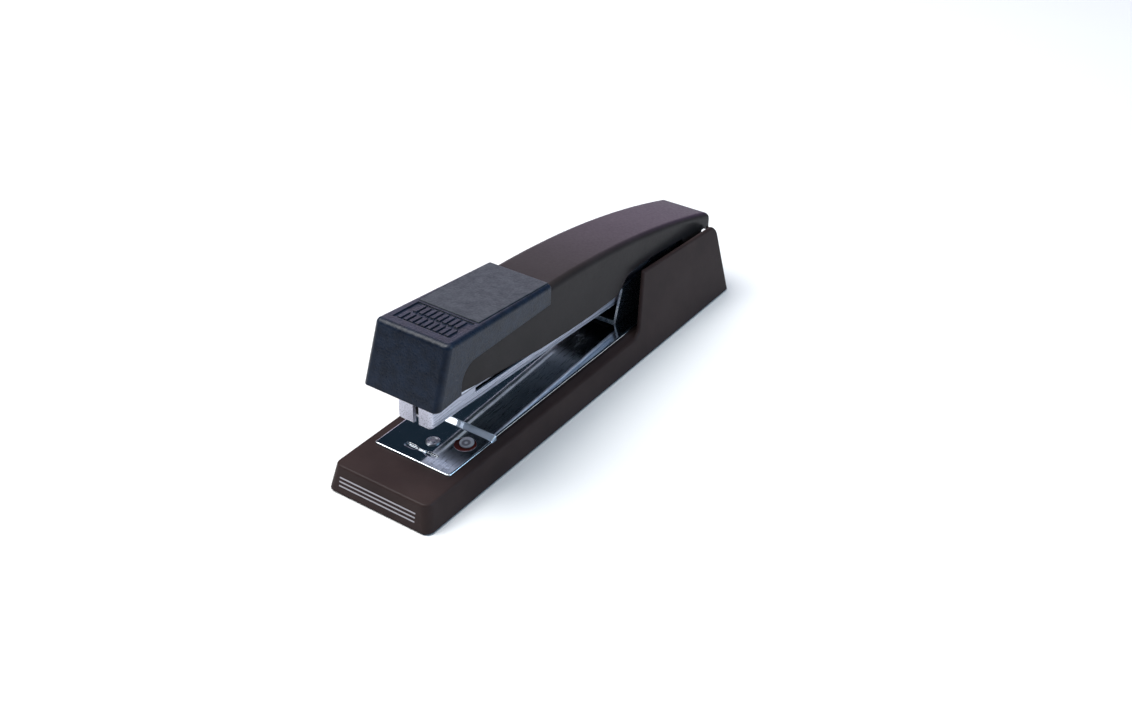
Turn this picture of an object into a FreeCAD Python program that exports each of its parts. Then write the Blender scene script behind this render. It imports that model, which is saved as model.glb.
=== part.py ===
import FreeCAD, Part
import math
import os
import Sketcher

# Desk stapler, millimetres. X is the width, the nose points to -Y, +Z is up.
# The origin is at the bottom centre of the base.

SIZES = {
    # Base
    "base_length": 196.7,
    "base_half_width": 22.75,
    "base_rim_height": 0.6,
    "base_top_height": 10.4,
    "base_front_lean": 2.5,
    "base_wall": 1.2,
    "side_lean": 0.2,
    "hump_front": 31.3,
    "hump_front_lean": 9.5,
    "hump_front_height": 33.3,
    "hump_rear_height": 30.3,
    "hump_rear_lean": 2.8,
    "hump_foot_radius": 4.5,
    "front_corner_radius": 3.2,
    "rear_corner_radius": 5.5,
    "shell_edge_radius": 1.1,
    "tail_slot_front": 70.0,
    "tail_slot_height": 6.5,
    "tail_slot_half_width": 12.5,
    "pad_thickness": 2.0,
    "pad_half_width": 20.4,
    "pad_half_length": 95.2,
    "pad_post_radius": 3.0,
    # Anvil plate
    "plate_half_width": 16.7,
    "plate_front": -79.8,
    "plate_rear": 66.0,
    "plate_low_top": 11.3,
    "plate_high_top": 12.4,
    "joggle_front": -56.2,
    "joggle_rear": -54.2,
    "clinch_line": -74.2,
    "clinch_depth": 0.65,
    "rivet_line": -68.0,
    "rivet_shank_radius": 1.3,
    "latch_hole_radius": 4.0,
    "latch_hole_side": 10.1,
    "latch_hole_line": -62.8,
    "latch_disc_radius": 2.6,
    # Pivot
    "pivot_line": 85.0,
    "pivot_height": 22.0,
    "pin_radius": 2.0,
    "pin_half_length": 12.7,
    "pin_hole_radius": 2.06,
    "clip_radius": 3.6,
    "clip_inner_face": 11.9,
    "clip_thickness": 0.7,
    "bracket_half_width": 9.9,
    "bracket_wall": 1.0,
    "bracket_rivet_radius": 1.5,
    "leaf_thickness": 0.5,
    # Magazine, in its own level frame whose origin is on the pivot
    "magazine_tilt": 2.96,
    "magazine_half_width": 7.5,
    "magazine_wall": 0.8,
    "magazine_front": -161.8,
    "magazine_bottom": -6.2,
    "magazine_top": 6.0,
    "magazine_rear": 6.6,
    "nose_slot_left": -0.4,
    "nose_slot_right": 2.1,
    "driver_gap_rear": -157.6,
    "window_bottom": -2.5,
    "window_top": -0.6,
    "rail_half_width": 5.65,
    "rail_top": 1.5,
    "rail_rear": -30.0,
    "rod_radius": 1.0,
    "rod_height": -2.4,
    "stop_rear": -24.0,
    "cross_rivet_radius": 1.2,
    "spring_coil_radius": 1.55,
    "spring_wire_radius": 0.22,
    "spring_pitch": 3.2,
    "pusher_rear": -145.6,
    # Handle
    "handle_rear": 98.0,
    "handle_tail_half_width": 11.6,
    "handle_tail_bottom": 27.6,
    "handle_tail_lip": 2.4,
    "handle_taper": 0.0126,
    "handle_wall": 1.0,
    "handle_arch_radius": 446.0,
    "handle_arch_line": -34.2,
    "handle_arch_height": 53.2,
    "handle_slope_start": -17.0,
    "handle_front": -72.5,
    "handle_slope": 0.102,
    "handle_edge_radius": 2.4,
    "ear_half_length": 7.2,
    "cap_skin": 1.0,
    "cap_half_width": 14.3,
    "cap_front_wall": 1.9,
    "cap_corner_radius": 2.2,
    "cap_taper": 0.029,
    "cap_slope": 0.087,
    "cap_sweep_radius": 8.0,
    "cap_pad_half_width": 12.8,
    "pad_gap": 0.25,
    "pad_recess_depth": 0.6,
    "pad_raise": 0.25,
    "grip_depth": 0.45,
    "driver_thickness": 0.6,
    "driver_width": 12.6,
    "frame_thickness": 1.0,
    "handle_rivet_radius": 1.5,
}


def make_sheet(doc):
    """Write every size to the sheet under its own name."""
    sheet = doc.addObject("Spreadsheet::Sheet", "Sizes")
    for row, (alias, value) in enumerate(SIZES.items(), start=1):
        sheet.set(f"A{row}", alias)
        sheet.set(f"B{row}", str(value))
        sheet.setAlias(f"B{row}", alias)
    doc.recompute()
    return sheet


DOC = FreeCAD.newDocument("stapler")
SHEET = make_sheet(DOC)
NODES = []


def size(alias):
    """Read one size back from the sheet."""
    return float(getattr(SHEET, alias))


def vector(x, y, z):
    return FreeCAD.Vector(x, y, z)


def bind(feature, prop, expression):
    """Tie a property to the sheet. Size names in the expression follow the prefix S_."""
    feature.setExpression(prop, expression.replace("S_", "Sizes."))


# ---------------------------------------------------------------- sketches


def plane_of(body, role):
    for item in body.Origin.OriginFeatures:
        if item.Role == role:
            return item
    raise ValueError(role)


def lock_point(sketch, geometry, end, point):
    sketch.addConstraint(Sketcher.Constraint("DistanceX", -1, 1, geometry, end, point[0]))
    sketch.addConstraint(Sketcher.Constraint("DistanceY", -1, 1, geometry, end, point[1]))


def edge_geometry(start, end):
    """Line between two corners, or an arc when the first corner carries a third item, its middle."""
    first = vector(start[0], start[1], 0)
    last = vector(end[0], end[1], 0)
    if len(start) == 2:
        return Part.LineSegment(first, last)
    return Part.Arc(first, vector(start[2][0], start[2][1], 0), last)


def end_at(geometry, point):
    """Number of the end of a sketch curve that lies on a point."""
    spot = vector(point[0], point[1], 0)
    return 1 if geometry.StartPoint.distanceToPoint(spot) < 1e-6 else 2


def add_polygon(sketch, points):
    """Closed run of lines and arcs; each corner is dimensioned from the origin."""
    first = sketch.GeometryCount
    count = len(points)
    for index in range(count):
        sketch.addGeometry(edge_geometry(points[index], points[(index + 1) % count]), False)
    curves = sketch.Geometry
    for index in range(count):
        here = first + index
        after = first + (index + 1) % count
        corner = points[(index + 1) % count]
        ends = (end_at(curves[here], corner), end_at(curves[after], corner))
        sketch.addConstraint(Sketcher.Constraint("Coincident", here, ends[0], after, ends[1]))
        lock_point(sketch, after, ends[1], corner)
        if len(points[index]) == 3:
            sketch.addConstraint(Sketcher.Constraint("Radius", here, curves[here].Radius))


def add_circle(sketch, centre, alias):
    """Circle whose radius follows the sheet."""
    middle = vector(centre[0], centre[1], 0)
    index = sketch.addGeometry(Part.Circle(middle, vector(0, 0, 1), size(alias)), False)
    lock_point(sketch, index, 3, centre)
    radius = sketch.addConstraint(Sketcher.Constraint("Radius", index, size(alias)))
    bind(sketch, f"Constraints[{radius}]", f"S_{alias}")


def new_sketch(body, role, polygons=(), circles=(), lift=0.0):
    sketch = body.newObject("Sketcher::SketchObject", f"{body.Name}_sketch")
    sketch.AttachmentSupport = [(plane_of(body, role), "")]
    sketch.MapMode = "FlatFace"
    sketch.AttachmentOffset = FreeCAD.Placement(vector(0, 0, lift), FreeCAD.Rotation())
    for points in polygons:
        add_polygon(sketch, points)
    for centre, alias in circles:
        add_circle(sketch, centre, alias)
    return sketch


def side_sketch(body, *polygons, circles=()):
    """Sketch in the YZ plane: points are (y, z)."""
    return new_sketch(body, "YZ_Plane", polygons, circles)


def plan_sketch(body, *polygons, circles=(), lift=0.0):
    """Sketch in the XY plane: points are (x, y)."""
    return new_sketch(body, "XY_Plane", polygons, circles, lift)


def end_sketch(body, *polygons):
    """Sketch in the XZ plane: points are (x, z)."""
    return new_sketch(body, "XZ_Plane", polygons)


# ---------------------------------------------------------------- features


def new_body(name):
    return DOC.addObject("PartDesign::Body", name)


def pad(body, sketch, length, symmetric=True):
    feature = body.newObject("PartDesign::Pad", f"{body.Name}_pad")
    feature.Profile = sketch
    feature.Midplane = symmetric
    bind(feature, "Length", length)
    DOC.recompute()
    return feature


def pocket(body, sketch, length=None, symmetric=True):
    """Cut by a length from the sheet, or through everything when no length is given."""
    before = body.Shape.Volume
    feature = body.newObject("PartDesign::Pocket", f"{body.Name}_pocket")
    feature.Profile = sketch
    feature.Midplane = symmetric
    if length is None:
        feature.Type = "ThroughAll"
    else:
        bind(feature, "Length", length)
    DOC.recompute()
    if not feature.Shape.Volume < before + 1e-6:
        raise RuntimeError(f"{feature.Name} added material")
    return feature


def revolve(body, sketch):
    """Full turn about the Z axis of the body."""
    feature = body.newObject("PartDesign::Revolution", f"{body.Name}_turn")
    feature.Profile = sketch
    feature.ReferenceAxis = (plane_of(body, "Z_Axis"), [""])
    feature.Angle = 360
    DOC.recompute()
    return feature


def fillet(body, pick, radius):
    """Round the edges of the tip that pick accepts."""
    tip = body.Tip
    names = [f"Edge{i}" for i, edge in enumerate(tip.Shape.Edges, start=1) if pick(edge)]
    if not names:
        raise RuntimeError(f"no edge to round on {body.Name}")
    feature = body.newObject("PartDesign::Fillet", f"{body.Name}_round")
    feature.Base = (tip, names)
    bind(feature, "Radius", radius)
    DOC.recompute()
    if feature.Shape.isNull() or not feature.Shape.isValid():
        raise RuntimeError(f"rounding failed on {body.Name}")
    return feature


def middle(edge):
    first, last = edge.ParameterRange
    return edge.valueAt((first + last) / 2)


def is_cross_edge(edge, y, z, tolerance=0.4):
    """Edge that runs along X through the point (y, z)."""
    box = edge.BoundBox
    if box.YLength > 0.05 or box.ZLength > 0.05:
        return False
    centre = middle(edge)
    return abs(centre.y - y) < tolerance and abs(centre.z - z) < tolerance


def cut(name, base, tool):
    feature = DOC.addObject("Part::Cut", name)
    feature.Base = base
    feature.Tool = tool
    DOC.recompute()
    return feature


def fuse(name, shapes):
    feature = DOC.addObject("Part::MultiFuse", name)
    feature.Shapes = shapes
    DOC.recompute()
    return feature


def cylinder(name, radius, height, base, axis=(0, 0, 1)):
    """Cylinder from a base point along an axis; radius and height follow the sheet."""
    feature = DOC.addObject("Part::Cylinder", name)
    bind(feature, "Radius", radius)
    bind(feature, "Height", height)
    turn = FreeCAD.Rotation(vector(0, 0, 1), vector(*axis))
    feature.Placement = FreeCAD.Placement(vector(*base), turn)
    DOC.recompute()
    return feature


def keep(feature, label, placement=None):
    """Name a finished sub-part and put it in its place."""
    feature.Label = label
    if placement is not None:
        feature.Placement = placement
    NODES.append(feature)


PIVOT = vector(0, size("pivot_line"), size("pivot_height"))
TILTED = FreeCAD.Placement(PIVOT, FreeCAD.Rotation(vector(1, 0, 0), -size("magazine_tilt")))


def both_sides(points):
    """A polygon and its mirror image across X."""
    return [points, [(-x, y) for x, y in reversed(points)]]


# ---------------------------------------------------------------- base


def base_side_line(height, inset):
    """Half width of the base at a height, drawn in by an inset."""
    return size("base_half_width") - inset - size("side_lean") * height


def lean_cut(body, inset):
    """Trim both long sides of the base to their lean."""
    low = (base_side_line(-5, inset), -5)
    high = (base_side_line(60, inset), 60)
    wedge = [low, high, (40, 60), (40, -5)]
    pocket(body, end_sketch(body, *both_sides(wedge)))


def build_base_shell():
    end = size("base_length") / 2
    rim = size("base_rim_height")
    top = size("base_top_height")
    lean = size("base_front_lean")
    hump = size("hump_front")
    hump_top = size("hump_front_height")
    crest = hump + size("hump_front_lean")
    rear_top = end - size("hump_rear_lean")
    rear_height = size("hump_rear_height")
    wall = size("base_wall")

    outer = new_body("base_outer")
    profile = [(-end, rim), (-end + lean, top), (hump, top), (crest, hump_top)]
    profile += [(rear_top, rear_height), (end, rim)]
    pad(outer, side_sketch(outer, profile), "S_base_half_width * 2 + 1")
    lean_cut(outer, 0)
    fillet(outer, lambda e: is_cross_edge(e, hump, top), "S_hump_foot_radius")
    fillet(outer, is_front_corner, "S_front_corner_radius")
    fillet(outer, lambda e: is_cross_edge(e, rear_top, rear_height), "S_rear_corner_radius")
    fillet(outer, is_shell_rim, "S_shell_edge_radius")

    inner = new_body("base_inner")
    slot = size("tail_slot_front")
    hollow = [(-end + wall + 0.3, -1), (-end + lean + wall, top - wall), (slot, top - wall)]
    hollow += [(slot, top), (20, top), (20, 60), (rear_top - wall, 60), (rear_top - wall, rear_height)]
    hollow += [(end - wall, -1)]
    pad(inner, side_sketch(inner, hollow), "S_base_half_width * 2 + 1")
    lean_cut(inner, wall * 1.02)
    fillet(inner, is_front_corner, "S_front_corner_radius - S_base_wall")

    rivet = cylinder("base_rivet_hole", "S_rivet_shank_radius", "S_base_top_height + 5",
                     (0, size("rivet_line"), 0))
    holes = [inner, tail_slot(), rivet]
    for number, y in enumerate(BRACKET_RIVET_LINES):
        holes.append(cylinder(f"base_bracket_hole_{number}", "S_bracket_rivet_radius",
                              "S_base_top_height + 5", (0, y, 0)))
    keep(cut("base_shell", outer, fuse("base_cavity", holes)), "base_shell")


def tail_slot():
    """Opening in the rear wall that the handle's tail swings through; a lip stays on each side."""
    body = new_body("tail_slot")
    half = size("tail_slot_half_width")
    front = size("tail_slot_front")
    rear = size("base_length")
    opening = [(-half, front), (half, front), (half, rear), (-half, rear)]
    sketch = plan_sketch(body, opening, lift=size("tail_slot_height"))
    pad(body, sketch, "S_hump_front_height * 2", symmetric=False)
    return body


def is_front_corner(edge):
    """The two leaning upright edges at the front of the base."""
    box = edge.BoundBox
    return box.YMax < -90 and box.ZLength > 5 and box.XLength < 8


def is_shell_rim(edge):
    """Top edges of the low base and of the raised walls."""
    box = edge.BoundBox
    centre = middle(edge)
    on_side = abs(centre.x) > 12 and box.YLength > 2 and centre.z > size("base_top_height") - 0.4
    on_front = is_cross_edge(edge, -size("base_length") / 2 + size("base_front_lean"),
                             size("base_top_height"))
    on_crest = is_cross_edge(edge, size("hump_front") + size("hump_front_lean"),
                             size("hump_front_height"))
    low_side = abs(centre.x) > 10 and centre.y < -86 and centre.z > size("base_top_height") - 0.4
    return on_side or on_front or on_crest or low_side


def build_base_pad():
    body = new_body("base_pad")
    half_x = size("pad_half_width")
    half_y = size("pad_half_length")
    sole = [(-half_x, -half_y), (half_x, -half_y), (half_x, half_y), (-half_x, half_y)]
    pad(body, plan_sketch(body, sole), "S_pad_thickness", symmetric=False)
    fillet(body, lambda e: e.BoundBox.ZLength > 1, "S_front_corner_radius")
    posts = [((side * 15.0, y), "pad_post_radius") for side in (-1, 1) for y in (-78, -20, 24)]
    pad(body, plan_sketch(body, circles=posts), "S_base_top_height - S_base_wall", symmetric=False)
    keep(body, "base_pad")


BRACKET_RIVET_LINES = (38.0, 57.0)


def build_anvil_plate():
    body = new_body("anvil_plate")
    front = size("plate_front")
    rear = size("plate_rear")
    floor = size("base_top_height")
    low = size("plate_low_top")
    high = size("plate_high_top")
    step_front = size("joggle_front")
    step_rear = size("joggle_rear")
    profile = [(front, floor), (front, low), (step_front, low), (step_rear, high)]
    profile += [(rear, high), (rear, floor)]
    pad(body, side_sketch(body, profile), "S_plate_half_width * 2")
    fillet(body, lambda e: e.BoundBox.ZLength > 0.5 and middle(e).y < front + 1, "S_base_wall")
    fillet(body, lambda e: is_cross_edge(e, step_front, low) or is_cross_edge(e, step_rear, high),
           "S_base_wall")
    fillet(body, is_plate_rim, "S_base_wall * 0.46")
    line = size("clinch_line")
    for side in (-1, 1):
        near = [(side * x, line + y) for x, y in CLINCH_OUTLINE]
        pocket(body, plan_sketch(body, near, lift=low), "S_clinch_depth", symmetric=False)
    waist = [(-1.7, line - 0.45), (1.7, line - 0.45), (1.7, line + 0.45), (-1.7, line + 0.45)]
    pocket(body, plan_sketch(body, waist, lift=low), "S_clinch_depth * 0.6", symmetric=False)
    holes = [((size("latch_hole_side"), size("latch_hole_line")), "latch_hole_radius")]
    holes.append(((0, size("rivet_line")), "rivet_shank_radius"))
    holes += [((0, y), "bracket_rivet_radius") for y in BRACKET_RIVET_LINES]
    pocket(body, plan_sketch(body, circles=holes))
    keep(body, "anvil_plate")


# Half of the staple-bending groove: outline of one round-ended pocket.
CLINCH_OUTLINE = [(1.6, -0.7), (3.0, -1.1), (6.4, -1.1), (7.1, -0.75), (7.4, 0.0),
                  (7.1, 0.75), (6.4, 1.1), (3.0, 1.1), (1.6, 0.7)]


def is_plate_rim(edge):
    """Upper outline of the plate along its front and sides."""
    centre = middle(edge)
    at_side = abs(centre.x) > size("plate_half_width") - 1.3
    at_front = centre.y < size("plate_front") + 1
    on_top = centre.z > size("plate_low_top") - 0.05
    return (at_side or at_front) and on_top and edge.BoundBox.ZLength < 1.3 and centre.y < 60


def build_anvil_rivet():
    body = new_body("anvil_rivet")
    under = size("base_top_height") - size("base_wall")
    plate = size("plate_low_top")
    shank = size("rivet_shank_radius")
    half = [(0, under - 1.0), (2.2, under - 1.0), (2.2, under), (shank, under), (shank, plate)]
    half += [(2.6, plate), (2.6, plate + 0.25), (2.3, plate + 0.5), (1.9, plate + 0.5)]
    half += [(1.7, plate + 0.3), (1.3, plate + 0.3), (1.1, plate + 0.5), (0, plate + 0.5)]
    revolve(body, end_sketch(body, half))
    keep(body, "anvil_rivet", FreeCAD.Placement(vector(0, size("rivet_line"), 0), FreeCAD.Rotation()))


def build_latch_button():
    x = size("latch_hole_side") - 0.3
    y = size("latch_hole_line") + 1.2
    floor = size("base_top_height")
    foot = cylinder("latch_foot", "S_latch_disc_radius * 0.5", "S_leaf_thickness * 1.4", (x, y, floor))
    disc = cylinder("latch_disc", "S_latch_disc_radius", "S_leaf_thickness", (x, y, floor + 0.5),
                    (0, -0.12, 1))
    keep(fuse("latch_button", [foot, disc]), "latch_button")


def build_pivot_bracket():
    body = new_body("pivot_bracket")
    floor = size("plate_high_top")
    wall = size("bracket_wall")
    line = size("pivot_line")
    height = size("pivot_height")
    ear = 8.0
    profile = [(30.8, floor), (35.6, 26.0), (68, height + ear), (line + ear, height + ear)]
    profile += [(line + ear, height - ear), (74, height - ear), (66, floor)]
    pad(body, side_sketch(body, profile), "S_bracket_half_width * 2")
    half = size("bracket_half_width") - wall
    gap = [(-half, floor + wall), (half, floor + wall), (half, 60), (-half, 60)]
    pocket(body, end_sketch(body, gap))
    fillet(body, lambda e: is_cross_edge(e, line + ear, height + ear)
           or is_cross_edge(e, line + ear, height - ear), "S_bracket_wall * 7.9")
    pocket(body, side_sketch(body, circles=[((line, height), "pin_radius")]))
    rivets = [((0, y), "bracket_rivet_radius") for y in BRACKET_RIVET_LINES]
    pocket(body, plan_sketch(body, circles=rivets))
    keep(body, "pivot_bracket")


def build_bracket_rivets():
    under = size("base_top_height") - size("base_wall")
    seat = size("plate_high_top") + size("bracket_wall")
    pieces = []
    for number, y in enumerate(BRACKET_RIVET_LINES):
        top = seat + size("leaf_thickness") * number
        shank = cylinder(f"bracket_shank_{number}", "S_bracket_rivet_radius",
                         f"S_plate_high_top + S_bracket_wall + S_leaf_thickness * {number}"
                         " - S_base_top_height + S_base_wall", (0, y, under))
        head = cylinder(f"bracket_head_{number}", "S_bracket_rivet_radius * 1.9", "S_base_wall * 0.7",
                        (0, y, top))
        foot = cylinder(f"bracket_foot_{number}", "S_bracket_rivet_radius * 1.6", "S_base_wall * 0.8",
                        (0, y, under - size("base_wall") * 0.8))
        pieces.append(fuse(f"bracket_rivet_{number}", [shank, head, foot]))
    group = DOC.addObject("Part::Compound", "bracket_rivets")
    group.Links = pieces
    keep(group, "bracket_rivets")


def build_pivot_pin():
    half = size("pin_half_length")
    pin = cylinder("pivot_pin", "S_pin_radius", "S_pin_half_length * 2",
                   (-half, PIVOT.y, PIVOT.z), (1, 0, 0))
    keep(pin, "pivot_pin")


def build_pin_clips():
    rings = []
    for number, side in enumerate((-1, 1)):
        face = size("clip_inner_face") if side > 0 else -size("clip_inner_face") - size("clip_thickness")
        base = (face, PIVOT.y, PIVOT.z)
        disc = cylinder(f"clip_disc_{number}", "S_clip_radius", "S_clip_thickness", base, (1, 0, 0))
        hole = cylinder(f"clip_hole_{number}", "S_pin_radius", "S_clip_thickness", base, (1, 0, 0))
        rings.append(cut(f"clip_ring_{number}", disc, hole))
    group = DOC.addObject("Part::Compound", "pin_clips")
    group.Links = rings
    keep(group, "pin_clips")


def build_lift_spring():
    body = new_body("lift_spring")
    seat = size("plate_high_top") + size("bracket_wall")
    leaf = size("leaf_thickness")
    profile = [(62, seat), (50, seat), (35.5, seat + 4.25), (35.0, seat + 4.75), (35.6, seat + 4.85)]
    profile += [(50.3, seat + leaf), (62, seat + leaf)]
    pad(body, side_sketch(body, profile), "S_magazine_half_width * 1.1")
    rear_rivet = [((0, BRACKET_RIVET_LINES[1]), "bracket_rivet_radius")]
    pocket(body, plan_sketch(body, circles=rear_rivet))
    keep(body, "lift_spring")


# ---------------------------------------------------------------- magazine


def build_magazine_channel():
    body = new_body("magazine_channel")
    front = size("magazine_front")
    rear = size("magazine_rear")
    bottom = size("magazine_bottom")
    top = size("magazine_top")
    wall = size("magazine_wall")
    profile = [(front, bottom), (front, top - 0.8), (-145, top), (rear, top), (rear, bottom)]
    pad(body, side_sketch(body, profile), "S_magazine_half_width * 2")
    fillet(body, lambda e: is_cross_edge(e, rear, top) or is_cross_edge(e, rear, bottom),
           "S_magazine_wall * 6")
    fillet(body, lambda e: e.BoundBox.ZLength > 5 and middle(e).y < front + 0.1,
           "S_magazine_wall * 2")
    fillet(body, lambda e: e.BoundBox.YLength > 50 and middle(e).z < bottom + 0.1, "S_magazine_wall * 1.2")
    nose = front + 2 * wall
    hollow = [(nose, bottom + wall), (nose, 20), (20, 20), (20, bottom + wall)]
    pocket(body, side_sketch(body, hollow), "S_magazine_half_width * 2 - S_magazine_wall * 2")
    gap = size("driver_gap_rear")
    exit_slot = [(nose, bottom - 3), (nose, bottom + 3), (gap, bottom + 3), (gap, bottom - 3)]
    pocket(body, side_sketch(body, exit_slot), "S_magazine_half_width * 2 - S_magazine_wall * 2")
    left = size("nose_slot_left")
    right = size("nose_slot_right")
    nose_slot = [(left, front - 2), (right, front - 2), (right, nose + 0.5), (left, nose + 0.5)]
    pocket(body, plan_sketch(body, nose_slot, lift=bottom - 3), "S_magazine_top * 6")
    low = size("window_bottom")
    high = size("window_top")
    window = [(-138, low), (-138, high), (-52, high), (-52, low)]
    pocket(body, side_sketch(body, window))
    holes = [((0, 0), "pin_hole_radius"), (CROSS_RIVET, "cross_rivet_radius")]
    pocket(body, side_sketch(body, circles=holes))
    keep(body, "magazine_channel", TILTED)


CROSS_RIVET = (-27.0, 2.2)


def build_staple_rail():
    body = new_body("staple_rail")
    front = size("driver_gap_rear")
    rear = size("rail_rear")
    floor = size("magazine_bottom") + size("magazine_wall")
    top = size("rail_top")
    wall = size("magazine_wall")
    profile = [(front, floor), (front, top), (rear, top), (rear, floor)]
    pad(body, side_sketch(body, profile), "S_rail_half_width * 2")
    hollow = [(front + wall, floor - 2), (front + wall, top - wall), (rear + 2, top - wall),
              (rear + 2, floor - 2)]
    pocket(body, side_sketch(body, hollow), "S_rail_half_width * 2 - S_magazine_wall * 2")
    slot = [(-1.6, -153.0), (1.6, -153.0), (1.6, rear - 1.5), (-1.6, rear - 1.5)]
    pocket(body, plan_sketch(body, slot, lift=top), "S_magazine_wall + 0.2", symmetric=False)
    keep(body, "staple_rail", TILTED)


def build_guide_rod():
    front = size("driver_gap_rear") + size("magazine_wall")
    rod = cylinder("guide_rod", "S_rod_radius", "S_rail_rear + 3 - S_driver_gap_rear - S_magazine_wall",
                   (0, front, size("rod_height")), (0, 1, 0))
    place = TILTED.multiply(rod.Placement)
    keep(rod, "guide_rod", place)


def build_end_stop():
    body = new_body("end_stop_body")
    front = size("rail_rear")
    rear = size("stop_rear")
    floor = size("magazine_bottom") + size("magazine_wall")
    profile = [(front, floor), (front, 4.6), (rear, 4.6), (rear, floor)]
    pad(body, side_sketch(body, profile), "S_magazine_half_width * 2 - S_magazine_wall * 2")
    pocket(body, side_sketch(body, circles=[(CROSS_RIVET, "cross_rivet_radius")]))
    block = DOC.addObject("Part::Cut", "end_stop_block")
    block.Base = body
    block.Tool = cylinder("end_stop_bore", "S_rod_radius", "S_rod_radius * 4",
                          (0, front - 1, size("rod_height")), (0, 1, 0))
    DOC.recompute()
    keep(block, "end_stop", TILTED)


def build_cross_rivet():
    wide = size("magazine_half_width")
    y, z = CROSS_RIVET
    shank = cylinder("cross_shank", "S_cross_rivet_radius", "S_magazine_half_width * 2",
                     (-wide, y, z), (1, 0, 0))
    left = cylinder("cross_head_left", "S_cross_rivet_radius * 1.6", "S_magazine_wall * 0.75",
                    (-wide, y, z), (-1, 0, 0))
    right = cylinder("cross_head_right", "S_cross_rivet_radius * 1.6", "S_magazine_wall * 0.75",
                     (wide, y, z), (1, 0, 0))
    keep(fuse("magazine_rivet", [shank, left, right]), "magazine_rivet", TILTED)


def build_pusher():
    front = size("driver_gap_rear")
    rear = size("pusher_rear")
    top = size("rail_top") + 0.12
    body = new_body("pusher_block")
    profile = [(front, top), (front, top + 2.6), (front + 1.5, top + 3.4), (rear, top + 3.4), (rear, top)]
    pad(body, side_sketch(body, profile), "S_rail_half_width * 2 + 1.5")
    cheek = [(5.8, top + 1), (6.4, top + 1), (6.4, -3.2), (5.8, -3.2)]
    sides = new_body("pusher_cheeks")
    pad(sides, end_sketch(sides, *both_sides(cheek)), "S_driver_gap_rear * -0.07", symmetric=True)
    sides.Placement = FreeCAD.Placement(vector(0, (front + rear) / 2, 0), FreeCAD.Rotation())
    web = new_body("pusher_web")
    pad(web, side_sketch(web, [(-151, -2.4), (-151, top + 1), (-146.4, top + 1), (-146.4, -2.4)]),
        "S_rod_radius * 2.6")
    height = size("rod_height")
    ring = cylinder("pusher_ring", "S_rod_radius * 2.1", "S_rod_radius * 4.6", (0, -151, height), (0, 1, 0))
    bore = cylinder("pusher_bore", "S_rod_radius + 0.06", "S_rod_radius * 8", (0, -152, height), (0, 1, 0))
    keep(cut("pusher", fuse("pusher_solid", [body, sides, web, ring]), bore), "pusher", TILTED)


def build_pusher_spring():
    start = -146.3
    length = size("rail_rear") - 0.2 - start
    coil = DOC.addObject("Part::Helix", "spring_coil")
    bind(coil, "Pitch", "S_spring_pitch")
    bind(coil, "Radius", "S_spring_coil_radius")
    coil.Height = length
    wire = DOC.addObject("Part::Circle", "spring_wire")
    bind(wire, "Radius", "S_spring_wire_radius")
    radius = size("spring_coil_radius")
    wire.Placement = FreeCAD.Placement(vector(radius, 0, 0), FreeCAD.Rotation(vector(1, 0, 0), 90))
    sweep = DOC.addObject("Part::Sweep", "pusher_spring")
    sweep.Sections = [wire]
    sweep.Spine = (coil, [])
    sweep.Solid = True
    sweep.Frenet = True
    DOC.recompute()
    along = FreeCAD.Placement(vector(0, start, size("rod_height")),
                              FreeCAD.Rotation(vector(0, 0, 1), vector(0, 1, 0)))
    keep(sweep, "pusher_spring", TILTED.multiply(along))


# ---------------------------------------------------------------- handle


def handle_half_width(y):
    return size("handle_tail_half_width") + (size("handle_rear") - y) * size("handle_taper")


def handle_top(y, drop=0.0):
    """Height of the handle's top line, sunk by a drop."""
    start = size("handle_slope_start")
    if y < start:
        return handle_top(start, drop) + (start - y) * size("handle_slope")
    radius = size("handle_arch_radius")
    run = y - size("handle_arch_line")
    centre = size("handle_arch_height") - radius
    return centre + math.sqrt((radius - drop) ** 2 - run ** 2)


def arch_points(rear, drop):
    """Top line of the arch from the rear to its front end, as one arc."""
    front = size("handle_slope_start")
    centre = (rear + front) / 2
    crest = (centre, handle_top(centre, drop))
    return [(rear, handle_top(rear, drop), crest), (front, handle_top(front, drop))]


def taper_cut(body, inset):
    """Trim both sides of the handle to its taper."""
    wedge = [(handle_half_width(-95) - inset, -95), (handle_half_width(120) - inset, 120)]
    wedge += [(40, 120), (40, -95)]
    pocket(body, plan_sketch(body, *both_sides(wedge)))


# Lower edge of the handle from its front corner back to the ears, as (y, z).
HANDLE_LOWER_EDGE = [
    (-70.8, 40.0), (-69.8, 37.5), (-65.8, 36.9), (-58.5, 35.6), (-37.0, 32.6), (-22.4, 30.3),
    (-3.8, 28.6), (10.0, 27.8), (24.0, 27.5), (28.2, 27.9), (31.0, 29.3), (33.0, 31.3),
    (35.0, 32.8), (37.6, 33.6), (44.9, 33.5), (60.0, 32.4), (76.0, 30.6),
]


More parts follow.
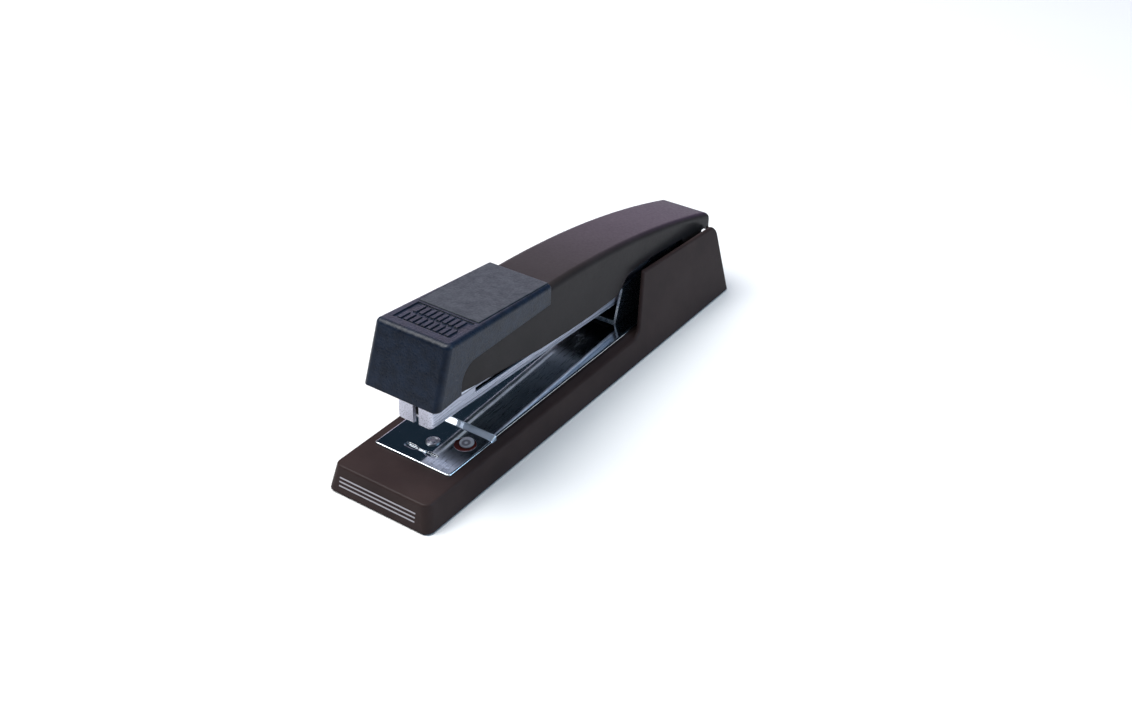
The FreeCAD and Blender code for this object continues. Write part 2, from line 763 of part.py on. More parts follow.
def build_handle_cover():
    end = size("handle_rear")
    wall = size("handle_wall")
    ear = size("ear_half_length")
    line = size("pivot_line")
    height = size("pivot_height")
    front = size("handle_front")
    tail_bottom = size("handle_tail_bottom")
    lip = size("handle_tail_lip")

    outer = new_body("handle_outer")
    profile = list(HANDLE_LOWER_EDGE)
    profile += [(line - ear, 27.2), (line - ear, height - ear), (line + ear, height - ear)]
    profile += [(line + ear, tail_bottom), (end - 4.0, tail_bottom), (end, tail_bottom - lip)]
    profile += arch_points(end, 0)
    profile += [(front, handle_top(front)), (front, 41.5)]
    pad(outer, side_sketch(outer, profile), "S_handle_rear * 0.3")
    taper_cut(outer, 0)
    fillet(outer, is_handle_crown, "S_handle_edge_radius")
    fillet(outer, lambda e: is_cross_edge(e, line - ear, height - ear)
           or is_cross_edge(e, line + ear, height - ear), "S_ear_half_length * 0.98")

    inner = new_body("handle_inner")
    hollow = [(-95, 5), (end - wall, 5)]
    hollow += arch_points(end - wall, wall)
    hollow += [(-95, handle_top(-95, wall))]
    pad(inner, side_sketch(inner, hollow), "S_handle_rear * 0.4")
    taper_cut(inner, wall)
    holes = [inner]
    holes.append(cylinder("handle_pin_hole", "S_pin_hole_radius", "S_pin_half_length * 4",
                          (-2 * size("pin_half_length"), line, height), (1, 0, 0)))
    holes += [rivet_shank(f"cover_rivet_hole_{i}", y, 6.0, 3.0) for i, y in enumerate(HANDLE_RIVET_LINES)]
    keep(cut("handle_cover", outer, fuse("handle_cavity", holes)), "handle_cover")


def is_handle_crown(edge):
    """Long top edges, and the upright and cross edges of the tail."""
    box = edge.BoundBox
    centre = middle(edge)
    near_top = abs(centre.z - handle_top(centre.y)) < 0.15
    along = near_top and abs(centre.x) > 8 and box.YLength > 1
    return along or is_cross_edge(edge, size("handle_rear"), handle_top(size("handle_rear")))


HANDLE_RIVET_LINES = (-63.0, -30.0)


def crown_frame(y):
    """Frame on the sloping top of the handle, +Z square to the surface."""
    angle = -math.degrees(math.atan(size("handle_slope")))
    return FreeCAD.Placement(vector(0, y, handle_top(y)), FreeCAD.Rotation(vector(1, 0, 0), angle))


def rivet_shank(name, y, below, above):
    """Straight rivet body square to the sloping top of the handle."""
    feature = DOC.addObject("Part::Cylinder", name)
    bind(feature, "Radius", "S_handle_rivet_radius")
    feature.Height = below + above
    drop = FreeCAD.Placement(vector(0, 0, -below), FreeCAD.Rotation())
    feature.Placement = crown_frame(y).multiply(drop)
    DOC.recompute()
    return feature


def build_handle_rivets():
    pieces = []
    for number, y in enumerate(HANDLE_RIVET_LINES):
        shank = rivet_shank(f"handle_shank_{number}", y, 2.7, -0.15)
        head = DOC.addObject("Part::Cylinder", f"handle_head_{number}")
        bind(head, "Radius", "S_handle_rivet_radius * 1.7")
        bind(head, "Height", "S_frame_thickness * 0.9")
        drop = FreeCAD.Placement(vector(0, 0, -3.6), FreeCAD.Rotation())
        head.Placement = crown_frame(y).multiply(drop)
        pieces.append(fuse(f"handle_rivet_{number}", [shank, head]))
    group = DOC.addObject("Part::Compound", "handle_rivets")
    group.Links = pieces
    keep(group, "handle_rivets")


def sloped_strip(front, rear, top_drop, bottom_drop):
    """Strip under the sloping top line, as a (y, z) polygon."""
    square = math.hypot(1, size("handle_slope"))
    top = [(y, handle_top(y) - top_drop * square) for y in (front, rear)]
    bottom = [(y, handle_top(y) - bottom_drop * square) for y in (rear, front)]
    return top + bottom


def build_handle_frame():
    body = new_body("handle_frame_body")
    strip = sloped_strip(-70.0, -19.0, 1.0, 7.0)
    pad(body, side_sketch(body, strip), "S_handle_tail_half_width * 2 + 0.4")
    hollow = sloped_strip(-80.0, -15.0, 2.0, 9.0)
    pocket(body, side_sketch(body, hollow), "S_handle_tail_half_width * 2 + 0.4 - S_frame_thickness * 2")
    holes = [rivet_shank(f"frame_rivet_hole_{i}", y, 8.0, 3.0) for i, y in enumerate(HANDLE_RIVET_LINES)]
    keep(cut("handle_frame", body, fuse("frame_holes", holes)), "handle_frame")


def magazine_point(y, z):
    """Point of the magazine's level frame, in the stapler's frame, as (y, z)."""
    spot = TILTED.multVec(vector(0, y, z))
    return (spot.y, spot.z)


def build_driver_blade():
    body = new_body("driver_blade_body")
    back = -158.6
    front = back - size("driver_thickness")
    foot_front = magazine_point(front, 2.4)
    foot_back = magazine_point(back, 2.4)
    head_front = magazine_point(front, 22.0)
    head_back = magazine_point(back, 22.0)
    flange = sloped_strip(head_front[0] + 0.4, -58.0, 2.0, 2.7)
    profile = [foot_front, head_front, flange[0], flange[1], flange[2]]
    profile += [(head_back[0] + 0.3, flange[3][1]), head_back, foot_back]
    pad(body, side_sketch(body, profile), "S_driver_width")
    hole = rivet_shank("driver_rivet_hole", HANDLE_RIVET_LINES[0], 8.0, 3.0)
    keep(cut("driver_blade", body, hole), "driver_blade")


def build_handle_spring():
    body = new_body("handle_spring_body")
    flat = sloped_strip(-36.0, -23.0, 2.0, 2.7)
    touch = magazine_point(-70.0, size("magazine_top"))
    profile = [flat[0], flat[1], (touch[0], touch[1] + 0.75), (touch[0] + 3.5, touch[1] + 1.6)]
    profile += [(touch[0] + 3.7, touch[1] + 1.1), (touch[0] + 0.2, touch[1] + 0.03), flat[2], flat[3]]
    pad(body, side_sketch(body, profile), "S_magazine_half_width * 2")
    hole = rivet_shank("spring_rivet_hole", HANDLE_RIVET_LINES[1], 8.0, 3.0)
    keep(cut("handle_spring", body, hole), "handle_spring")


# ---------------------------------------------------------------- cap


CAP_FRONT_FOOT = (-83.3, 38.0)
CAP_BROW = -75.0
CAP_REAR = -17.4


def cap_top(y, drop=0.0):
    """Height of the cap's top, which falls to the rear less steeply than the handle."""
    brow = handle_top(CAP_BROW) + size("cap_skin")
    return brow - (y - CAP_BROW) * size("cap_slope") - drop


def cap_taper_cut(body):
    """Trim both sides of the cap to its taper."""
    start = size("cap_half_width")
    slope = size("cap_taper")
    wedge = [(start + slope * 75, CAP_REAR - 75), (start - slope * 20, CAP_REAR + 20)]
    wedge += [(40, CAP_REAR + 20), (40, CAP_REAR - 75)]
    pocket(body, plan_sketch(body, *both_sides(wedge)))


def build_front_cap():
    foot_y, foot_z = CAP_FRONT_FOOT
    lean = (CAP_BROW - foot_y) / (cap_top(CAP_BROW) - foot_z)
    corner = (-69.4, 48.6)

    outer = new_body("cap_outer")
    profile = [CAP_FRONT_FOOT, (-70.2, 38.4), corner, (-18.0, 47.0), (CAP_REAR, cap_top(CAP_REAR))]
    profile += [(CAP_BROW, cap_top(CAP_BROW))]
    pad(outer, side_sketch(outer, profile), "S_cap_half_width * 2 + 6")
    cap_taper_cut(outer)
    fillet(outer, lambda e: is_cross_edge(e, *corner), "S_cap_sweep_radius")
    fillet(outer, is_cap_front_edge, "S_cap_corner_radius")
    fillet(outer, is_cap_crown, "S_cap_corner_radius * 0.8")

    inner = new_body("cap_inner")
    wall = size("cap_front_wall")
    ceiling = handle_top(-73.4)
    low_y = foot_y + wall + lean * (20 - foot_z)
    high_y = foot_y + wall + lean * (ceiling - foot_z)
    hollow = [(low_y, 20), (high_y, handle_top(high_y)), (size("handle_slope_start"), handle_top(-17.0))]
    hollow += [(-10, handle_top(-17.0)), (-10, 20)]
    pad(inner, side_sketch(inner, hollow), "S_handle_rear * 0.4")
    taper_cut(inner, 0)

    recess = new_body("cap_recess")
    pad(recess, side_sketch(recess, cap_strip(-56.3, CAP_REAR, -3.0, size("pad_recess_depth"))),
        "S_cap_pad_half_width * 2 + S_pad_gap * 2")
    grip = new_body("cap_grip")
    pad(grip, side_sketch(grip, cap_strip(-70.4, -57.2, -3.0, size("grip_depth"))),
        "S_cap_pad_half_width * 1.92")
    pocket(grip, plan_sketch(grip, *GRIP_RIBS))
    keep(cut("front_cap", outer, fuse("cap_cavity", [inner, recess, grip])), "front_cap")


def grip_row(centre, count):
    """Short ribs side by side across the cap, as plan rectangles."""
    corners = ((-0.75, -2.5), (0.75, -2.5), (0.75, 2.5), (-0.75, 2.5))
    middles = [(number - (count - 1) / 2) * 2.5 for number in range(count)]
    return [[(x + dx, centre + dy) for dx, dy in corners] for x in middles]


# Two rows of ribs left standing in the sunken field in front of the pad.
GRIP_RIBS = grip_row(-67.1, 9) + grip_row(-60.7, 8)


def cap_strip(front, rear, top_drop, bottom_drop):
    """Band that follows the cap's sloping top, as a (y, z) polygon."""
    return [(front, cap_top(front, bottom_drop)), (front, cap_top(front, top_drop)),
            (rear, cap_top(rear, top_drop)), (rear, cap_top(rear, bottom_drop))]


def is_cap_front_edge(edge):
    """Upright corners of the front face and its upper edge."""
    box = edge.BoundBox
    centre = middle(edge)
    upright = box.ZLength > 12 and centre.y < -74
    return upright or is_cross_edge(edge, CAP_BROW, cap_top(CAP_BROW))


def is_cap_crown(edge):
    """Long top edges of the cap."""
    centre = middle(edge)
    return abs(centre.z - cap_top(centre.y)) < 0.1 and abs(centre.x) > 10 and edge.BoundBox.YLength > 20


def build_cap_pad():
    body = new_body("cap_pad")
    strip = cap_strip(-56.1, CAP_REAR, -size("pad_raise"), size("pad_recess_depth"))
    pad(body, side_sketch(body, strip), "S_cap_pad_half_width * 2")
    fillet(body, is_pad_rim, "S_pad_raise * 0.8")
    keep(body, "cap_pad")


def is_pad_rim(edge):
    centre = middle(edge)
    return abs(centre.z - cap_top(centre.y, -size("pad_raise"))) < 0.05


BUILDERS = [
    build_base_shell, build_base_pad, build_anvil_plate, build_anvil_rivet, build_latch_button,
    build_pivot_bracket, build_bracket_rivets, build_pivot_pin, build_pin_clips, build_lift_spring,
    build_magazine_channel, build_staple_rail, build_guide_rod, build_end_stop, build_cross_rivet,
    build_pusher, build_pusher_spring, build_handle_cover, build_handle_frame, build_handle_rivets,
    build_driver_blade, build_handle_spring, build_front_cap, build_cap_pad,
]


def check_document():
    """Stop if any feature failed."""
    for item in DOC.Objects:
        if "Invalid" in item.State or "Error" in item.State:
            raise RuntimeError(f"{item.Name} is {item.State}")


def export_nodes():
    os.makedirs("parts", exist_ok=True)
    for feature in NODES:
        shape = feature.Shape
        if shape.isNull() or not shape.isValid():
            raise RuntimeError(f"{feature.Label} has no valid shape")
        shape.exportStep(f"parts/{feature.Label}.step")
        box = shape.BoundBox
        print(f"{feature.Label:18s} solids {len(shape.Solids)} volume {shape.Volume:9.1f}"
              f" x {box.XMin:7.2f} {box.XMax:7.2f} y {box.YMin:7.2f} {box.YMax:7.2f}"
              f" z {box.ZMin:6.2f} {box.ZMax:6.2f}")


for build in BUILDERS:
    build()
DOC.recompute()
check_document()
export_nodes()
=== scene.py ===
import bpy
import math
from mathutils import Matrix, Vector

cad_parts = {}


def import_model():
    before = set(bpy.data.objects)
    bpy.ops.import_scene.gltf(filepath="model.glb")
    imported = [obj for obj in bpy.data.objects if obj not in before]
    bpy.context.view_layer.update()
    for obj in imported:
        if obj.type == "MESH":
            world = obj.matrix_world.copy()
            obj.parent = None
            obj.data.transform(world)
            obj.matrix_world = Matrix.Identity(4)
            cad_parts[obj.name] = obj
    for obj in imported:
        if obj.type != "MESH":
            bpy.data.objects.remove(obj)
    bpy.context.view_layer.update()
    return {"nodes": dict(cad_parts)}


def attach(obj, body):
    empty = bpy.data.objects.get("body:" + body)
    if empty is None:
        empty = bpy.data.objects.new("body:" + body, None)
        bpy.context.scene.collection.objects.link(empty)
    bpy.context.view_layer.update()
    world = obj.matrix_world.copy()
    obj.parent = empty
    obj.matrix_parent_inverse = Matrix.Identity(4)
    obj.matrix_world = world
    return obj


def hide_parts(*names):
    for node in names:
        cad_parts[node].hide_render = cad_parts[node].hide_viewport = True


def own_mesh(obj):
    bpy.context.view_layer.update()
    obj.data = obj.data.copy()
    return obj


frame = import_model()
NODES = frame["nodes"]

# Places on the stapler, in metres. A pair is a lower and an upper limit.
FAR = 1.0                                                # beyond the stapler in any direction
STRIPE_LEVELS = ((0.0031, 0.0035), (0.0046, 0.0050), (0.0061, 0.0065))
STRIPE_ENDS = (-0.0172, 0.0160)
BASE_FRONT = (-0.2, -0.0955)
# The red-brown under the latch hole is a painted reflection.
REFLECTION_UNDER_LATCH_HOLE = ((0.0055, 0.0148), (-0.0675, -0.0582))  # across, then along
BUTTON_CENTRE = (0.0098, -0.0620)                        # across and along
# Band of painted shade around the button's centre.
BUTTON_SHADE_BAND = (0.0008, 0.0014)                           # distance from the centre
# Band of painted pale highlight on the anvil plate's joggle.
JOGGLE = (-0.0561, -0.0541)
MAGAZINE_SIDE = 0.0074
MAGAZINE_SLOPE = 0.0517                                  # rise per metre towards the nose
NOSE_LINE = -0.066
# The pale line of painted reflection along the magazine's underside.
REFLECTION_LINE_ACROSS = (-0.0050, -0.0043)
REFLECTION_LINE_REAR = 0.008

# Painted highlight and shade lines along the magazine's sides, in place of rolled beads: lowest and
# highest level, and colour. The pale lines are painted highlights, the dark ones painted shade.
PAINTED_FOLD_LINES = (
    (0.0203, 0.0208, (0.86, 0.88, 0.95)),
    (0.0216, 0.0219, (0.22, 0.23, 0.28)),
    (0.0262, 0.0265, (0.16, 0.17, 0.21)),
    (0.0268, 0.0275, (0.80, 0.82, 0.90)),
)

# Places of the axes in a vector.
Y, Z = 1, 2

# Camera: degrees around from the front and up, and metres from the point it looks at.
AZIMUTH = 35.29
ELEVATION = 33.28
CAMERA_TARGET = Vector((0.00998, -0.00249, 0.01538))
CAMERA_DISTANCE = 0.520
SENSOR_MM = 36.0
LENS_MM = 44.33


# ---------------------------------------------------------------- node helpers


def new_material(name):
    """An empty node material with its Principled shader wired to the output."""
    material = bpy.data.materials.new(name)
    material.use_nodes = True
    tree = material.node_tree
    tree.nodes.clear()
    output = tree.nodes.new("ShaderNodeOutputMaterial")
    shader = tree.nodes.new("ShaderNodeBsdfPrincipled")
    tree.links.new(shader.outputs["BSDF"], output.inputs["Surface"])
    return material, tree, shader


def place(tree, stretch=(1, 1, 1)):
    """Object coordinates in metres, stretched per axis."""
    coords = tree.nodes.new("ShaderNodeTexCoord")
    mapping = tree.nodes.new("ShaderNodeMapping")
    mapping.inputs["Scale"].default_value = stretch
    tree.links.new(coords.outputs["Object"], mapping.inputs["Vector"])
    return mapping.outputs["Vector"]


def noise(tree, vector, scale, detail=3.0, rough=0.5):
    """Cloudy noise from 0 to 1."""
    node = tree.nodes.new("ShaderNodeTexNoise")
    node.inputs["Scale"].default_value = scale
    node.inputs["Detail"].default_value = detail
    node.inputs["Roughness"].default_value = rough
    tree.links.new(vector, node.inputs["Vector"])
    return node.outputs["Fac"]


def cells(tree, vector, scale):
    """Rounded cells of uneven size."""
    node = tree.nodes.new("ShaderNodeTexVoronoi")
    node.feature = "SMOOTH_F1"
    node.inputs["Scale"].default_value = scale
    tree.links.new(vector, node.inputs["Vector"])
    return node.outputs["Distance"]


def ramp(tree, value, stops):
    """Colour ramp from (position, colour) pairs; a plain number is a grey."""
    node = tree.nodes.new("ShaderNodeValToRGB")
    elements = node.color_ramp.elements
    while len(elements) < len(stops):
        elements.new(0.5)
    for element, (position, colour) in zip(elements, stops):
        element.position = position
        grey = isinstance(colour, (int, float))
        element.color = (colour, colour, colour, 1) if grey else (*colour, 1)
    tree.links.new(value, node.inputs["Fac"])
    return node.outputs["Color"]


def bump(tree, shader, height, strength, distance):
    """Bump on the shader; a second call stacks on the first."""
    node = tree.nodes.new("ShaderNodeBump")
    node.inputs["Strength"].default_value = strength
    node.inputs["Distance"].default_value = distance
    tree.links.new(height, node.inputs["Height"])
    normal = shader.inputs["Normal"]
    if normal.is_linked:
        tree.links.new(normal.links[0].from_socket, node.inputs["Normal"])
    tree.links.new(node.outputs["Normal"], normal)


def round_edges(tree, shader, radius):
    """Softened normals along sharp edges."""
    node = tree.nodes.new("ShaderNodeBevel")
    node.samples = 6
    node.inputs["Radius"].default_value = radius
    tree.links.new(node.outputs["Normal"], shader.inputs["Normal"])


def math_node(tree, operation, *values):
    """Math node; each value is a socket or a plain number."""
    node = tree.nodes.new("ShaderNodeMath")
    node.operation = operation
    for socket, value in zip(node.inputs, values):
        if isinstance(value, (int, float)):
            socket.default_value = value
        else:
            tree.links.new(value, socket)
    return node.outputs["Value"]


def axes(tree, vector):
    """The vector's X, Y and Z as sockets."""
    node = tree.nodes.new("ShaderNodeSeparateXYZ")
    tree.links.new(vector, node.inputs["Vector"])
    return node.outputs


def along_length(tree, y):
    """Share of a 200 mm length, from 0 at the front to 1 at the rear."""
    return math_node(tree, "MULTIPLY_ADD", y, 5.0, 0.5)


def band(tree, value, low, high, edge):
    """1 between low and high, falling to 0 over the edge width."""
    rise = tree.nodes.new("ShaderNodeMapRange")
    fall = tree.nodes.new("ShaderNodeMapRange")
    for node, first, last in ((rise, low - edge, low), (fall, high + edge, high)):
        node.interpolation_type = "SMOOTHSTEP"
        node.inputs["From Min"].default_value = first
        node.inputs["From Max"].default_value = last
        tree.links.new(value, node.inputs["Value"])
    return math_node(tree, "MULTIPLY", rise.outputs["Result"], fall.outputs["Result"])


def blend(tree, factor, below, above):
    """Colour below where the factor is 0 and above where it is 1."""
    node = tree.nodes.new("ShaderNodeMix")
    node.data_type = "RGBA"
    tree.links.new(factor, node.inputs["Factor"])
    for socket, colour in ((node.inputs[6], below), (node.inputs[7], above)):
        if isinstance(colour, tuple):
            socket.default_value = (*colour, 1)
        else:
            tree.links.new(colour, socket)
    return node.outputs[2]


def facing(tree, axis, low, high):
    """0 where the object's normal along an axis is below low, 1 where it is above high."""
    coords = tree.nodes.new("ShaderNodeTexCoord")
    turn = tree.nodes.new("ShaderNodeMapRange")
    turn.inputs["From Min"].default_value = low
    turn.inputs["From Max"].default_value = high
    tree.links.new(axes(tree, coords.outputs["Normal"])[axis], turn.inputs["Value"])
    return turn.outputs["Result"]


# ---------------------------------------------------------------- materials


def rear_painted_sheen(tree, where, tint, colour):
    """Painted sheen: top faces turn towards a purple colour from the middle of the stapler to its rear.
    """
    fade = ramp(tree, along_length(tree, axes(tree, where)[Y]), [(0.50, 0.0), (0.95, 1.0)])
    mask = math_node(tree, "MULTIPLY", fade, facing(tree, Z, 0.5, 0.9))
    return blend(tree, mask, tint, colour)


def print_and_painted_reflection(tree, where, tint):
    """Three printed pinstripes on the front edge, and a painted red-brown reflection under the latch
    hole.
    """
    x, y, z = axes(tree, where)
    stripes = band(tree, z, *STRIPE_LEVELS[0], 0.0001)
    for level in STRIPE_LEVELS[1:]:
        stripes = math_node(tree, "ADD", stripes, band(tree, z, *level, 0.0001))
    across = band(tree, x, *STRIPE_ENDS, 0.0003)
    in_front = band(tree, y, *BASE_FRONT, 0.0002)
    print_mask = math_node(tree, "MULTIPLY", math_node(tree, "MULTIPLY", stripes, across), in_front)
    tint = blend(tree, print_mask, tint, (0.42, 0.41, 0.45))
    hole_x, hole_y = REFLECTION_UNDER_LATCH_HOLE
    painted_reflection_under_hole = math_node(tree, "MULTIPLY", band(tree, x, *hole_x, 0.0003),
                            band(tree, y, *hole_y, 0.0003))
    # Painted reflection: red-brown on the base under the latch hole.
    return blend(tree, painted_reflection_under_hole, tint, (0.11, 0.022, 0.018))


def enamel(name, dark, light, ior, with_print_and_reflection=False, rear=None):
    """Dark brown semi-gloss paint with a faint orange peel, a painted purple sheen on the top towards
    the rear if asked, and the base's print and painted red-brown reflection if asked.
    """
    material, tree, shader = new_material(name)
    where = place(tree)
    tint = ramp(tree, noise(tree, where, 60, 4), [(0.3, dark), (0.7, light)])
    if rear is not None:
        tint = rear_painted_sheen(tree, where, tint, rear)
    if with_print_and_reflection:
        tint = print_and_painted_reflection(tree, where, tint)
    tree.links.new(tint, shader.inputs["Base Color"])
    gloss = ramp(tree, noise(tree, where, 900, 2), [(0.3, 0.34), (0.7, 0.44)])
    tree.links.new(gloss, shader.inputs["Roughness"])
    shader.inputs["IOR"].default_value = ior
    shader.inputs["Coat Weight"].default_value = 0.12
    shader.inputs["Coat Roughness"].default_value = 0.22
    round_edges(tree, shader, 0.0004)
    bump(tree, shader, noise(tree, where, 700, 2), 0.10, 0.0002)
    return material


def grained_plastic(name, dark, light, grain, depth, rough, ior):
    """Moulded plastic with a fine leather grain."""
    material, tree, shader = new_material(name)
    where = place(tree)
    tint = ramp(tree, noise(tree, where, 300, 3), [(0.35, dark), (0.65, light)])
    tree.links.new(tint, shader.inputs["Base Color"])
    pebbles = cells(tree, where, grain)
    gloss = ramp(tree, pebbles, [(0.1, rough - 0.08), (0.7, rough + 0.08)])
    tree.links.new(gloss, shader.inputs["Roughness"])
    shader.inputs["IOR"].default_value = ior
    round_edges(tree, shader, 0.0003)
    bump(tree, shader, pebbles, 0.45, depth)
    bump(tree, shader, noise(tree, where, grain * 1.7, 2), 0.25, depth * 0.6)
    return material


def painted_fold_lines(tree, tint):
    """Painted highlight and shade lines along the magazine's sides, in place of rolled beads; they rise
    to the front with its tilt.
    """
    x, y, z = axes(tree, place(tree))
    level = math_node(tree, "ADD", math_node(tree, "MULTIPLY", y, MAGAZINE_SLOPE), z)
    on_side = band(tree, math_node(tree, "ABSOLUTE", x), MAGAZINE_SIDE, FAR, 0.0001)
    for low, high, colour in PAINTED_FOLD_LINES:
        line = math_node(tree, "MULTIPLY", band(tree, level, low, high, 0.0002), 0.75)
        tint = blend(tree, math_node(tree, "MULTIPLY", line, on_side), tint, colour)
    return tint


def magazine_painted_light(tree, tint):
    """Polished sides with painted highlight and shade lines, and an underside of painted shade with a
    painted pale reflection band and one painted pale reflection line behind the nose.
    """
    tint = painted_fold_lines(tree, tint)
    x, y, z = axes(tree, place(tree))
    near_nose = band(tree, y, -FAR, NOSE_LINE, 0.012)
    polished = math_node(tree, "MAXIMUM", facing(tree, Z, -0.98, -0.90), near_nose)
    # Painted reflection: a pale line along the underside, behind the nose.
    reflection_line = math_node(tree, "MULTIPLY", band(tree, x, *REFLECTION_LINE_ACROSS, 0.0005),
                     band(tree, y, -FAR, REFLECTION_LINE_REAR, 0.004))
    # Painted shade along the underside, with a band of painted pale reflection.
    underside_painted_light = ramp(tree, along_length(tree, y), [
        (0.20, (0.018, 0.028, 0.036)), (0.42, (0.03, 0.05, 0.065)), (0.51, (0.11, 0.14, 0.17)),
        (0.545, (0.30, 0.33, 0.37)), (0.575, (0.010, 0.012, 0.016))])
    under = blend(tree, reflection_line, underside_painted_light, (0.85, 0.89, 0.95))
    return blend(tree, polished, under, tint)


def bracket_painted_shade(tree, tint):
    """Painted shade: bright where a face looks to the front, dark elsewhere."""
    return blend(tree, facing(tree, Y, -0.3, -0.7), (0.016, 0.024, 0.032), tint)


def plated_steel(name, dark, light, rough, streak, lines=0.15, metallic=1.0, finish=None):
    """Plated sheet steel, drawn along its length where the streak is small."""
    material, tree, shader = new_material(name)
    shader.inputs["Metallic"].default_value = metallic
    drawn = place(tree, (1, streak, 1))
    scratches = noise(tree, drawn, 2500, 4, 0.6)
    cloud = noise(tree, place(tree), 90, 3)
    tint = ramp(tree, cloud, [(0.3, dark), (0.7, light)])
    # The finish function adds painted light: shade, highlights and reflections.
    if finish is not None:
        tint = finish(tree, tint)
    tree.links.new(tint, shader.inputs["Base Color"])
    gloss = ramp(tree, scratches, [(0.3, rough * 0.7), (0.7, rough * 1.4)])
    tree.links.new(gloss, shader.inputs["Roughness"])
    round_edges(tree, shader, 0.0002)
    bump(tree, shader, scratches, lines, 0.00003)
    return material


def chrome():
    """Mirror plating with hairlines and a faint waviness, and a painted pale highlight on the joggle,
    where it is less metallic.
    """
    material, tree, shader = new_material("chrome_plating")
    where = place(tree)
    tint = ramp(tree, noise(tree, where, 120, 3), [(0.3, (0.60, 0.64, 0.68)), (0.7, (0.68, 0.71, 0.75))])
    # Painted highlight: the joggle is paler and less metallic.
    painted_highlight_ridge = band(tree, axes(tree, where)[Y], *JOGGLE, 0.0005)
    tree.links.new(blend(tree, painted_highlight_ridge, tint, (0.62, 0.68, 0.76)), shader.inputs["Base Color"])
    tree.links.new(ramp(tree, painted_highlight_ridge, [(0.0, 1.0), (1.0, 0.35)]), shader.inputs["Metallic"])
    hairlines = noise(tree, place(tree, (1, 0.04, 1)), 3000, 3, 0.6)
    tree.links.new(ramp(tree, hairlines, [(0.35, 0.035), (0.75, 0.12)]), shader.inputs["Roughness"])
    round_edges(tree, shader, 0.0002)
    bump(tree, shader, noise(tree, where, 45, 1), 0.15, 0.0004)
    return material


def button_plating():
    """Dull plating with a dark band of painted shade circling the button's dished centre."""
    material, tree, shader = new_material("button_plating")
    x, y, z = axes(tree, place(tree))
    squares = []
    for value, middle in zip((x, y), BUTTON_CENTRE):
        offset = math_node(tree, "SUBTRACT", value, middle)
        squares.append(math_node(tree, "MULTIPLY", offset, offset))
    radius = math_node(tree, "SQRT", math_node(tree, "ADD", *squares))
    painted_shade_band = math_node(tree, "MULTIPLY", band(tree, radius, *BUTTON_SHADE_BAND, 0.0004), 0.7)
    cloud = noise(tree, place(tree), 400, 3)
    tint = ramp(tree, cloud, [(0.3, (0.58, 0.58, 0.62)), (0.7, (0.72, 0.72, 0.76))])
    tree.links.new(blend(tree, painted_shade_band, tint, (0.05, 0.04, 0.05)), shader.inputs["Base Color"])
    tree.links.new(ramp(tree, cloud, [(0.3, 0.28), (0.7, 0.42)]), shader.inputs["Roughness"])
    shader.inputs["Metallic"].default_value = 0.4
    round_edges(tree, shader, 0.0002)
    bump(tree, shader, cloud, 0.05, 0.00003)
    return material


def rubber():
    """Matt dark rubber."""
    material, tree, shader = new_material("sole_rubber")
    where = place(tree)
    tree.links.new(ramp(tree, noise(tree, where, 200, 3), [(0.3, 0.012), (0.7, 0.020)]),
                   shader.inputs["Base Color"])
    shader.inputs["Roughness"].default_value = 0.75
    bump(tree, shader, noise(tree, where, 2500, 2), 0.3, 0.0001)
    return material


BASE_PAINT = enamel("base_enamel", (0.030, 0.020, 0.020), (0.040, 0.027, 0.026), 1.07, with_print_and_reflection=True)
# The handle's rear colour is a painted purple sheen on its top faces.
BROWN = enamel("brown_enamel", (0.022, 0.018, 0.018), (0.029, 0.024, 0.024), 1.11,
               rear=(0.043, 0.029, 0.045))
BLACK = grained_plastic("cap_plastic", (0.005, 0.009, 0.019), (0.008, 0.015, 0.032),
                        grain=1500, depth=0.00012, rough=0.34, ior=1.34)
PAD = grained_plastic("pad_plastic", (0.022, 0.029, 0.038), (0.040, 0.048, 0.059),
                      grain=1300, depth=0.00014, rough=0.50, ior=1.36)
CHROME = chrome()
NICKEL = plated_steel("nickel_plating", (0.52, 0.52, 0.61), (0.60, 0.60, 0.69),
                      rough=0.30, streak=0.02, lines=0.05, metallic=0.6, finish=magazine_painted_light)
BRIGHT = plated_steel("bright_steel", (0.66, 0.66, 0.70), (0.76, 0.76, 0.80), rough=0.22, streak=0.02,
                      lines=0.10)
SPRING = plated_steel("spring_steel", (0.36, 0.37, 0.40), (0.44, 0.45, 0.48), rough=0.30, streak=0.03)
BRACKET = plated_steel("bracket_steel", (0.56, 0.60, 0.66), (0.66, 0.70, 0.76),
                       rough=0.25, streak=1.0, lines=0.01, metallic=0.5, finish=bracket_painted_shade)
RIVET = plated_steel("turned_steel", (0.30, 0.32, 0.35), (0.40, 0.42, 0.45), rough=0.30, streak=1.0,
                     lines=0.02)
BUTTON = button_plating()
# Dark phosphate colour, made near black as painted shade for the parts inside the hollows.
SHADED_DARK_STEEL = plated_steel("phosphate_and_shade_steel", (0.012, 0.012, 0.014), (0.022, 0.022, 0.025), rough=0.5,
                    streak=0.1)
SOLE = rubber()

FINISH = {
    BASE_PAINT: ["base_shell"],
    BROWN: ["handle_cover"],
    BLACK: ["front_cap"],
    PAD: ["cap_pad"],
    CHROME: ["anvil_plate"],
    NICKEL: ["magazine_channel"],
    BUTTON: ["latch_button"],
    BRIGHT: ["guide_rod", "magazine_rivet", "handle_rivets"],
    BRACKET: ["pivot_bracket"],
    RIVET: ["anvil_rivet"],
    SPRING: ["pusher_spring", "driver_blade", "handle_spring"],
    SHADED_DARK_STEEL: ["pin_clips", "pivot_pin", "bracket_rivets", "staple_rail", "end_stop", "pusher",
           "handle_frame", "lift_spring"],
    SOLE: ["base_pad"],
}


def finish_nodes():
    """Gives every CAD node its finish."""
    for material, names in FINISH.items():
        for name in names:
            for slot in NODES[name].material_slots:
                slot.material = material


finish_nodes()


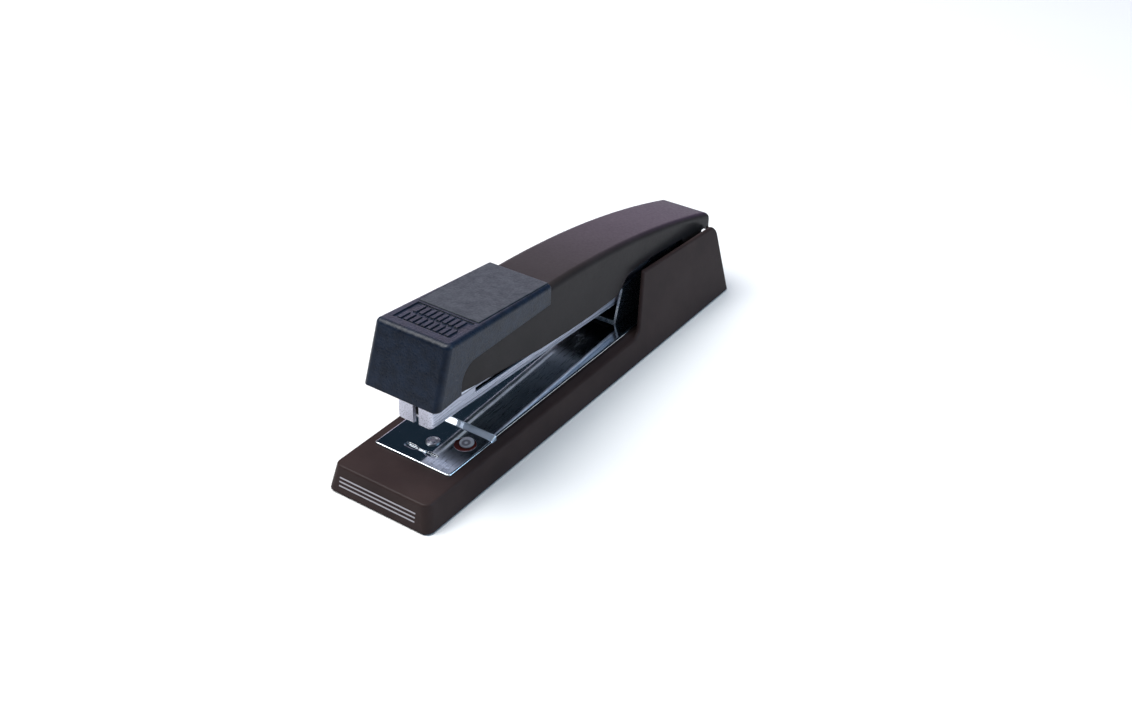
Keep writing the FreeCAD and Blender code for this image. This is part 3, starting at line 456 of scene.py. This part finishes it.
def pusher_coil():
    """The coil spring, as its own mesh carried by the magazine."""
    coil = bpy.data.objects.new("pusher_coil", NODES["pusher_spring"].data.copy())
    bpy.context.scene.collection.objects.link(coil)
    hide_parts("pusher_spring")
    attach(coil, "magazine")
    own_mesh(coil)


pusher_coil()


# ---------------------------------------------------------------- stage


def floor():
    """A large pale sheet of paper under the stapler."""
    mesh = bpy.data.meshes.new("floor")
    reach = 6.0
    corners = [(-reach, -reach, 0), (reach, -reach, 0), (reach, reach, 0), (-reach, reach, 0)]
    mesh.from_pydata(corners, [], [(0, 1, 2, 3)])
    plane = bpy.data.objects.new("floor", mesh)
    bpy.context.scene.collection.objects.link(plane)
    material, tree, shader = new_material("floor_paper")
    tint = ramp(tree, noise(tree, place(tree), 4, 2), [(0.3, 0.90), (0.7, 0.92)])
    tree.links.new(tint, shader.inputs["Base Color"])
    shader.inputs["Roughness"].default_value = 0.9
    shader.inputs["Specular IOR Level"].default_value = 0.0
    mesh.materials.append(material)


def softbox(name, spot, aim, width, height, power, colour=(1, 1, 1)):
    """Rectangular area light at a spot, turned to aim at a point."""
    data = bpy.data.lights.new(name, "AREA")
    data.shape = "RECTANGLE"
    data.size = width
    data.size_y = height
    data.energy = power
    data.color = colour
    lamp = bpy.data.objects.new(name, data)
    lamp.location = spot
    lamp.rotation_euler = (Vector(aim) - Vector(spot)).to_track_quat("-Z", "Y").to_euler()
    bpy.context.scene.collection.objects.link(lamp)


def world():
    """Faint blue-grey surroundings, which the chrome mirrors."""
    sky = bpy.data.worlds.new("studio")
    sky.use_nodes = True
    back = sky.node_tree.nodes["Background"]
    back.inputs["Color"].default_value = (0.012, 0.024, 0.038, 1)
    back.inputs["Strength"].default_value = 1.0
    bpy.context.scene.world = sky


def camera():
    """View of the stapler from its front right, from above."""
    data = bpy.data.cameras.new("camera")
    data.sensor_width = SENSOR_MM
    data.lens = LENS_MM
    data.clip_start = 0.01
    data.clip_end = 50
    shot = bpy.data.objects.new("camera", data)
    azimuth, elevation = math.radians(AZIMUTH), math.radians(ELEVATION)
    back = Vector((math.sin(azimuth) * math.cos(elevation), -math.cos(azimuth) * math.cos(elevation),
                   math.sin(elevation)))
    shot.location = CAMERA_TARGET + back * CAMERA_DISTANCE
    shot.rotation_euler = (-back).to_track_quat("-Z", "Y").to_euler()
    bpy.context.scene.collection.objects.link(shot)
    bpy.context.scene.camera = shot


bpy.context.scene.view_settings.view_transform = "Standard"
floor()
world()
camera()
softbox("key", spot=(-0.50, -0.30, 1.0), aim=(0, 0, 0.02), width=0.8, height=0.8, power=13)
softbox("overhead", spot=(-0.10, 0.0, 1.3), aim=(-0.05, 0.0, 0), width=1.5, height=1.5, power=12)
softbox("back_card", spot=(-0.68, 0.97, 0.36), aim=(0, 0, 0.03), width=0.9, height=0.6, power=2.8,
        colour=(0.94, 0.80, 1.0))
softbox("side_fill", spot=(0.95, 0.35, 0.45), aim=(0, 0, 0.03), width=0.6, height=0.5, power=5.0,
        colour=(0.48, 0.74, 1.0))

bpy.context.view_layer.update()
